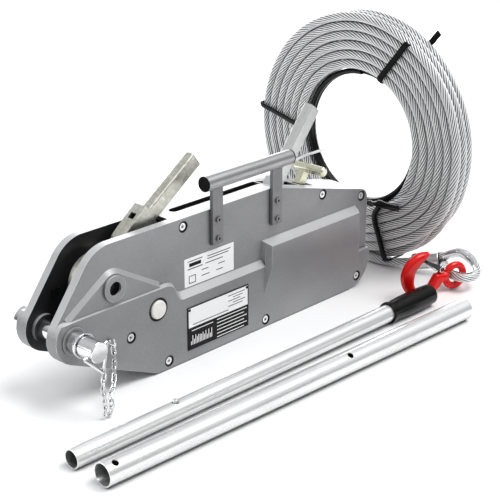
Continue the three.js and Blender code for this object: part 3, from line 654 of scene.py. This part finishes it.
def coil_line():
    """Centre line of the wound rope, from the bottom of the outer turn inwards.

    Each layer is a set of rings that step in or out by one diameter over a short arc, where the
    last ring of a layer also steps sideways into the next layer. The front layer comes first."""
    x0, y0, z0 = coil_centre()
    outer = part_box("rope_coil")[1][2] - z0 - ROPE / 2
    places = []
    total = 360 * COIL_TURNS * COIL_LAYERS - COIL_SHORT
    for degrees in np.arange(0, total, DEGREES_APART):
        ring, within = divmod(degrees - RING_BEGINS, 360)
        ring = int(ring)
        layer, place = divmod(ring, COIL_TURNS)
        moved = ease(within, STEP_FROM, STEP_TO)
        inwards = layer % 2 == 0
        row = place if inwards else COIL_TURNS - 1 - place
        x = x0 - ROPE * (1 - layer)
        if place == COIL_TURNS - 1:
            x += ROPE * moved
        else:
            row += moved if inwards else -moved
        a = math.radians(degrees)
        sway = math.sin(a * 1.37 + 1.1) + 0.7 * math.sin(a * 2.23 + 0.4) + 0.4 * math.sin(a * 4.81)
        swell = math.sin(a * 1.61 + 2.0) + 0.6 * math.sin(a * 2.87 + 0.7)
        radius = outer - RING_STEP * row + 0.00030 * swell
        x += 0.00042 * sway
        places.append((x, y0 + radius * math.sin(a), z0 - radius * math.cos(a)))
    return np.array(places)


def wound_rope():
    """The whole rope: out of the ferrule, along the floor, and into the coil."""
    start = np.array([[422.3, -65.6, 15.4], [416.6, -53.8, 12.7], [411.6, -40, 10.2],
                      [407, -20, 8.6], [404.6, 5, 8.2]]) * MM
    coil = coil_line()[TAIL_JOINS:]
    tail = through(np.vstack([start, coil[:6]]), 80)
    short = tail[:, 1] < coil[0, 1]
    rough = np.vstack([tail[short], coil])
    length = line_length(rough)
    line = resampled(rough, int(length / ROPE_SPACING))
    rope = stranded("wire_rope", line, ROPE_CROWN)
    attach(rope, "casing")
    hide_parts("rope_coil", "rope_tail")
    return rope, line, length


def rope_eye():
    """The eye that the rope's end is formed into, through the hook's ring."""
    a = np.array([422.5, -66, 15.5])
    b = np.array([442, -108, 25])
    along = (b - a) / np.linalg.norm(b - a)
    up = np.array([0, 0, 1]) - along * along[2]
    up /= np.linalg.norm(up)

    def strand(lift, ahead):
        return b + up * lift + along * ahead

    loop = [strand(7.2, 0.5), strand(7.2, 10), [452, -140, 44], [454, -160, 39], [448, -177, 31],
            [434, -189, 26], [416, -193, 24.5], [401.5, -184, 24.5], [400.5, -164, 24.5],
            [408, -146, 24], [424, -128, 21], strand(-7.2, 8), strand(-7.2, 0.5)]
    line = through(np.array(loop) * MM, 90)
    eye = stranded("rope_eye_strands", line, EYE_CROWN, (0, 0, 1))
    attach(eye, "casing")
    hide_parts("rope_eye")
    return eye, line


THIMBLE_OUTSIDE = 0.0088
THIMBLE_INSIDE = 0.0074


def thimble(line):
    """A pressed channel that cups the inside of the eye, widest over the upper strand."""
    part = line[3:66]
    centre = line[10:80].mean(axis=0)
    tangent = np.gradient(part, axis=0)
    tangent /= np.linalg.norm(tangent, axis=1)[:, None]
    inward = centre - part
    inward -= tangent * (inward * tangent).sum(axis=1)[:, None]
    inward /= np.linalg.norm(inward, axis=1)[:, None]
    across = np.cross(tangent, inward)
    wrap = np.interp(np.linspace(0, 1, len(part)), [0, 0.08, 0.35, 0.6, 1], [34, 96, 112, 72, 40])
    wrap = np.radians(wrap)
    spread = np.linspace(-1, 1, 15)
    section = [(THIMBLE_OUTSIDE, a) for a in spread] + [(THIMBLE_INSIDE, a) for a in spread[::-1]]
    verts = [part + r * (inward * np.cos(a * wrap)[:, None] + across * np.sin(a * wrap)[:, None])
             for r, a in section]
    verts = np.stack(verts, axis=1).reshape(-1, 3)
    obj = mesh_object("thimble_channel", verts, tube_faces(len(part), len(section)), "zinc_steel", 60)
    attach(obj, "casing")
    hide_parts("thimble")
    return obj


# ---------------------------------------------------------------- hook
# The hook stands in an upright plane, turned by its yaw. Its flat sides are at least HOOK_FLAT from
# that plane, and its section is rounded off over HOOK_ROUNDING from the outline.
HOOK_YAW = math.radians(15)
HOOK_ACROSS = Vector((math.sin(HOOK_YAW), math.cos(HOOK_YAW), 0))
HOOK_CENTRE = Vector((0.4, -0.165, 0.0004))
HOOK_ALONG = Vector((math.cos(HOOK_YAW), -math.sin(HOOK_YAW), 0))
HOOK_FLAT = 0.0065
HOOK_ROUNDING = 0.0088


def rim_points(mesh, middle):
    """Places along the edges where the flat sides of the hook meet its outline."""
    rims = []
    work = bmesh.new()
    work.from_mesh(mesh)
    for edge in work.edges:
        if len(edge.link_faces) != 2:
            continue
        flats = [abs(face.normal.dot(HOOK_ACROSS)) > 0.9 for face in edge.link_faces]
        if flats[0] == flats[1]:
            continue
        a, b = (v.co for v in edge.verts)
        if abs((a - middle).dot(HOOK_ACROSS)) < HOOK_FLAT:
            continue
        steps = max(1, int((b - a).length / 0.0005))
        for i in range(steps + 1):
            p = a.lerp(b, i / steps)
            rims.append(p - HOOK_ACROSS * (p - middle).dot(HOOK_ACROSS))
    work.free()
    return rims


def forged_hook():
    """The drop-forged hook: the flat profile is drawn in towards its outline to a round section."""
    obj = cad_copy("hook", "hook_forging")
    low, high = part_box("hook")
    middle = Vector([(a + b) / 2 for a, b in zip(low, high)])
    rims = rim_points(obj.data, middle)
    tree = kdtree.KDTree(len(rims))
    for i, point in enumerate(rims):
        tree.insert(point, i)
    tree.balance()
    baked(obj, [("REMESH", {"mode": "VOXEL", "voxel_size": 0.0011})])
    for vertex in obj.data.vertices:
        off = (vertex.co - middle).dot(HOOK_ACROSS)
        flat = vertex.co - HOOK_ACROSS * off
        inside = min(1, tree.find(flat)[2] / HOOK_ROUNDING)
        vertex.co = flat + HOOK_ACROSS * off * (0.12 + 0.88 * math.sqrt(1 - (1 - inside) ** 2))
    baked(obj, [("REMESH", {"mode": "VOXEL", "voxel_size": 0.0009}),
                ("SMOOTH", {"factor": 0.6, "iterations": 8})])
    obj.data.materials.clear()
    obj.data.materials.append(MATERIALS["red_paint"])
    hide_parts("hook")
    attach(obj, "casing")
    return finished(obj, 180)


def in_hook(h, v, n):
    """The place this many millimetres along, up and square to the hook's plane from its centre."""
    return HOOK_CENTRE + (HOOK_ALONG * h + HOOK_ACROSS * n + Vector((0, 0, v))) * MM


def latch_spring():
    """The bent wire that holds the latch shut, with its coils round the rivet."""
    points = [in_hook(-27 + 4.6 * math.cos(a), 42 + 4.6 * math.sin(a), -5.6 + 0.35 * a)
              for a in np.linspace(0, 5 * math.pi, 26)]
    points += [in_hook(-36, 40.5, 0.6), in_hook(-47, 47.5, 0.8), in_hook(-56, 55.5, 0.8)]
    obj = tube("latch_spring", points, 0.0009, "zinc_steel", 110, 8)
    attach(obj, "hook_latch")
    return obj


# ---------------------------------------------------------------- chain
# A link: half its straight part, the radius of its bends, its wire's radius, and the links' pitch.
LINK_HALF = 0.0040
LINK_BEND = 0.0029
LINK_WIRE = 0.00115
LINK_PITCH = 0.0098
# The spring clip at rest, in millimetres: where it hangs, its tilt and its reach to the chain.
CLIP_HANGS = Vector((-300, -88, 104.5))
CLIP_TILT = math.radians(18)
CLIP_REACH = 40.5


def chain_link(centre, along, across):
    """Corners and faces of one oval link of bent wire."""
    around = 26
    sides = 8
    third = along.cross(across).normalized()
    verts = []
    for i in range(around):
        a = 2 * math.pi * i / around
        straight = math.copysign(LINK_HALF, math.cos(a))
        middle = centre + along * (LINK_BEND * math.cos(a) + straight) + across * (LINK_BEND * math.sin(a))
        out = along * math.cos(a) + across * math.sin(a)
        for j in range(sides):
            b = 2 * math.pi * j / sides
            verts.append(middle + (out * math.cos(b) + third * math.sin(b)) * LINK_WIRE)
    faces = []
    for i in range(around):
        for j in range(sides):
            p, q = (i + 1) % around, (j + 1) % sides
            faces.append((i * sides + j, i * sides + q, p * sides + q, p * sides + j))
    return verts, faces


def pin_chain():
    """Links from the clip down to the floor, and from there up to the casing's eye.

    The first row hangs from the clip and is attached to no body, and the second stays with the casing."""
    corner = CLIP_HANGS + Vector((math.sin(CLIP_TILT), 0, -math.cos(CLIP_TILT))) * CLIP_REACH
    points = [corner, (-290.5, -89, 52), (-291, -89.5, 40), (-289, -90, 21), (-291, -91, 8),
              (-285, -92, 4.3), (-277, -89, 14), (-271, -80, 26), (-258, -72, 33), (-248, -62, 47),
              (-240, -54, 64), (-240, -52, 78)]
    route = through(np.array([tuple(p) for p in points]) * MM, 400)
    line = resampled(route, int(line_length(route) / LINK_PITCH) + 1)
    lowest = int(line[:, 2].argmin())
    hanging = link_row("chain_to_clip", line[:lowest + 1], 0)
    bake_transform(hanging)
    rising = link_row("chain_to_casing", line[lowest:], lowest)
    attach(rising, "casing")
    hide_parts("pin_chain")
    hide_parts("pin_chain")


def link_row(name, line, first):
    """Links from each place of the line to the next, every other one turned on edge."""
    verts, faces = [], []
    for i in range(len(line) - 1):
        along = Vector(line[i + 1] - line[i]).normalized()
        flat = Vector((0.3, 1, 0.1)) if (i + first) % 2 else Vector((1, -0.3, 0.05))
        across = (flat - along * flat.dot(along)).normalized()
        more, quads = chain_link(Vector((line[i] + line[i + 1]) / 2), along, across)
        faces += [tuple(k + len(verts) for k in quad) for quad in quads]
        verts += more
    return mesh_object(name, verts, faces, "zinc_steel", 180)


# ---------------------------------------------------------------- labels
def strips(name, boxes, y0, y1, slot):
    """Thin raised rectangles, each (x0, x1, z0, z1) in millimetres."""
    verts, faces = [], []
    for x0, x1, z0, z1 in boxes:
        k = len(verts)
        verts += [(x * MM, y * MM, z * MM) for y in (y0, y1) for x, z in
                  ((x0, z0), (x1, z0), (x1, z1), (x0, z1))]
        quads = [(0, 1, 2, 3), (7, 6, 5, 4), (0, 4, 5, 1), (1, 5, 6, 2), (2, 6, 7, 3), (3, 7, 4, 0)]
        faces += [tuple(k + i for i in quad) for quad in quads]
    obj = mesh_object(name, verts, faces, slot, 30)
    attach(obj, "casing")
    return obj


def plate_markings():
    """Plain bars where the real plates carry print: nothing on them can be read."""
    print_back = PLATE_FACE + 0.2
    strips("plate_panel", [(-88, 36, 52, 83)], PLATE_FACE - 0.12, print_back, "label_paper")
    rows = [(4 if i % 2 else -6, 30 - 5 * (i % 3), 78 - 4.2 * i) for i in range(5)]
    bars = [(x0, x1, z - 0.55, z + 0.55) for x0, x1, z in rows]
    bars += [(-80, -6, 55.4, 56.6)]
    strips("plate_panel_bars", bars, PLATE_FACE - 0.2, PLATE_FACE - 0.1, "data_plate")
    white = [(-30, 34 - 6 * (i % 2), 47 - 5.6 * i, 48.2 - 5.6 * i) for i in range(6)]
    white += [(-82, -38, 46, 47.2)]
    white += [(-84 + 3 * i, -82.6 + 3 * i, 24, 30 + 9 * abs(math.sin(i * 1.7))) for i in range(15)]
    strips("plate_bars", white, PLATE_FACE - 0.12, print_back, "label_paper")

    rows = [(-40, 8, 150), (-40, 4, 146), (-44, -8, 140), (-52, -38, 132), (-18, -4, 132),
            (-52, -36, 123), (-22, -8, 123)]
    bars = [(x0, x1, z - 0.6, z + 0.6) for x0, x1, z in rows]
    bars += [(-80, -50, 139, 140.4), (-80, -50, 151, 152.2), (-77, -53, 143, 148.5)]
    bars += [(-78, -64, 117, 118.2), (-78, -76.8, 117, 129), (-65.2, -64, 117, 129), (-78, -64, 128, 129)]
    strips("label_bars", bars, LABEL_FACE - 0.14, LABEL_FACE - 0.02, "data_plate")


# ---------------------------------------------------------------- hose and ties
HOSE_RADIUS = 0.0048
HOSE_TURNS = 2
HOSE_DRIFT = 0.0124
HOSE_PLACES = 144


def core_hose():
    """Turns of black hose, side by side, that line the coil's hole."""
    x0, y0, z0 = coil_centre()
    low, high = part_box("core_hose")
    radius = (high[2] - low[2]) / 2 - HOSE_RADIUS - 0.0001
    places = []
    for i in range(HOSE_PLACES + 1):
        a = 2 * math.pi * HOSE_TURNS * i / HOSE_PLACES
        drift = (i / HOSE_PLACES - 0.5) * HOSE_DRIFT
        places.append((x0 + drift, y0 + radius * math.sin(a), z0 + radius * math.cos(a)))
    obj = tube("core_hose_turns", places, HOSE_RADIUS, "black_rubber", 220, 14)
    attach(obj, "casing")
    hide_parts("core_hose")
    return obj


def polar(x, radius, degrees):
    """A place on the coil: x along its axis from the middle, angle from the top towards -Y, in mm."""
    x0, y0, z0 = coil_centre()
    a = math.radians(degrees)
    return np.array((x0 + x * MM, y0 - radius * MM * math.sin(a), z0 + radius * MM * math.cos(a)))


STRAP_SIDES = 14


def strap(name, places, width, thick, slot, steps=70):
    """A band with rounded edges along the places; it lies flat on the coil."""
    line = through([polar(*p) for p in places], steps)
    around = polar(*places[0]) - polar(places[0][0], places[0][1], places[0][2] + 2)
    wide = around / np.linalg.norm(around)
    tangent = np.gradient(line, axis=0)
    tangent /= np.linalg.norm(tangent, axis=1)[:, None]
    side = wide - tangent * (tangent @ wide)[:, None]
    side /= np.linalg.norm(side, axis=1)[:, None]
    up = np.cross(tangent, side)
    verts = []
    for a in np.linspace(0, 2 * math.pi, STRAP_SIDES, endpoint=False):
        c, s = math.cos(a), math.sin(a)
        verts.append(line + side * (width / 2 * math.copysign(abs(c) ** 0.5, c))
                     + up * (thick / 2 * math.copysign(abs(s) ** 0.7, s)))
    verts = np.stack(verts, axis=1).reshape(-1, 3)
    obj = mesh_object(name, verts, tube_faces(steps, STRAP_SIDES), slot, 50)
    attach(obj, "casing")
    return obj


def ties():
    """Black straps round the coil, tucked under its outer turns, and one white cable tie.

    Each place is (x, radius, angle) as polar() takes it. The straps run from the coil's hole
    over its front face, and the lower ones go on round the rim and down the back."""
    front, back, rim, core = -26.6, 26.4, 216.6, 118.4
    top = strap("tie_top_strap",
                [(24, core, 25), (0, core, 25), (-16, core, 25), (front + 2, 122, 25.2),
                 (front - 0.4, 132, 25.6), (front - 0.4, 173, 28.7), (front - 0.2, 202, 30),
                 (front + 2, 209, 30.3), (-14, 206, 31), (4, 204, 32), (15, 206, 33),
                 (20, 215, 34), (20.5, 227, 34.3), (20.5, 238, 34.6)],
                0.0105, 0.0032, "black_plastic", 90)
    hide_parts("tie_top")
    left = strap("tie_left_strap",
                 [(6, core, -93), (-6, core, -93), (-18, core, -92.5), (front, 119, -91.5),
                  (front - 0.8, 131, -89), (front - 0.4, 173, -85.8), (front, 211, -84.2),
                  (-18, rim, -84), (0, rim + 0.4, -84), (18, rim, -84), (back, 208, -84),
                  (back, 150, -87), (back, 130, -88)],
                 0.0078, 0.0036, "black_rubber", 110)
    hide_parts("tie_left")
    low = strap("tie_bottom_strap",
                [(22, core, 150), (0, core, 150), (-18, core, 149), (front, 116, 147),
                 (front - 1.6, 123, 149), (front - 1.4, 138, 157), (front - 0.8, 174, 158),
                 (front, 211, 158.2), (-18, rim, 158.2), (0, rim + 0.4, 158), (18, rim, 158),
                 (back, 208, 158), (back, 150, 157), (back, 118, 155)],
                0.0105, 0.0036, "black_rubber", 110)
    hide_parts("tie_bottom")
    knot = strap("tie_bottom_knot",
                 [(front + 4, 112, 165), (front - 1.6, 112.5, 161), (front - 2.8, 114, 153),
                  (front - 4.2, 118, 147), (front - 4.2, 126, 142), (front - 2.4, 137, 136.6),
                  (front - 0.6, 143, 134)],
                 0.0125, 0.0058, "black_rubber")
    white = strap("cable_tie",
                  [(20, 110, -116), (0, 109, -116), (-16, 109.5, -116), (front + 0.6, 119, -116),
                   (front + 0.2, 160, -117), (front + 0.4, 200, -117), (-21, 215.8, -117),
                   (0, 216.4, -117), (20, 215.6, -117)],
                  0.0046, 0.0014, "label_paper", 90)
    return [top, left, low, knot, white]


# ---------------------------------------------------------------- build
camera()
MATERIALS = make_materials()
studio()
for node, obj in NODES.items():
    obj.material_slots[0].material = MATERIALS[SLOT_OF[node]]

rope, rope_line, rope_length = wound_rope()
eye, eye_line = rope_eye()
thimble_piece = thimble(eye_line)
hook_piece = forged_hook()

refined("front_cover", "casing", 1.2)
refined("back_cover", "casing", 1.2)
for i in range(1, BOLTS + 1):
    refined(f"cover_bolt_{i}", "casing", 0.35, 2)
refined("closing_plug", "casing", 0.6)
refined("data_plate", "casing", 0.2, 2)
refined("handle_tube", "casing", 0.5)
for side in ("left", "right"):
    refined(f"handle_cap_{side}", "casing", 0.8)
    refined(f"handle_bracket_{side}", "casing", 0.8)
refined("anchor_pin", "casing", 0.7)
refined("pin_collar", "casing", 0.6)
refined("chain_eye", "casing", 0.2, 1)
refined("forward_lever", "forward_lever", 1.0)
refined("forward_stub", "forward_lever", 0.5)
refined("reverse_lever", "reverse_lever", 0.8)
refined("reverse_stub", "reverse_lever", 0.5)
refined("release_handle", "release_handle", 1.2)
refined("outer_tube", "outer_tube", 0.4)
refined("inner_tube", "inner_tube", 0.4)
refined("grip", "inner_tube", 0.8)
refined("spring_button", "spring_button", 0.4)
refined("spring_clip", "spring_clip", 0.3, 2)
ferrule = refined("ferrule", "casing", 2.2, 4)
latch = refined("hook_latch", "hook_latch", 0.4)
spring = latch_spring()
hose = core_hose()
tie_pieces = ties()
pin_chain()
plate_markings()
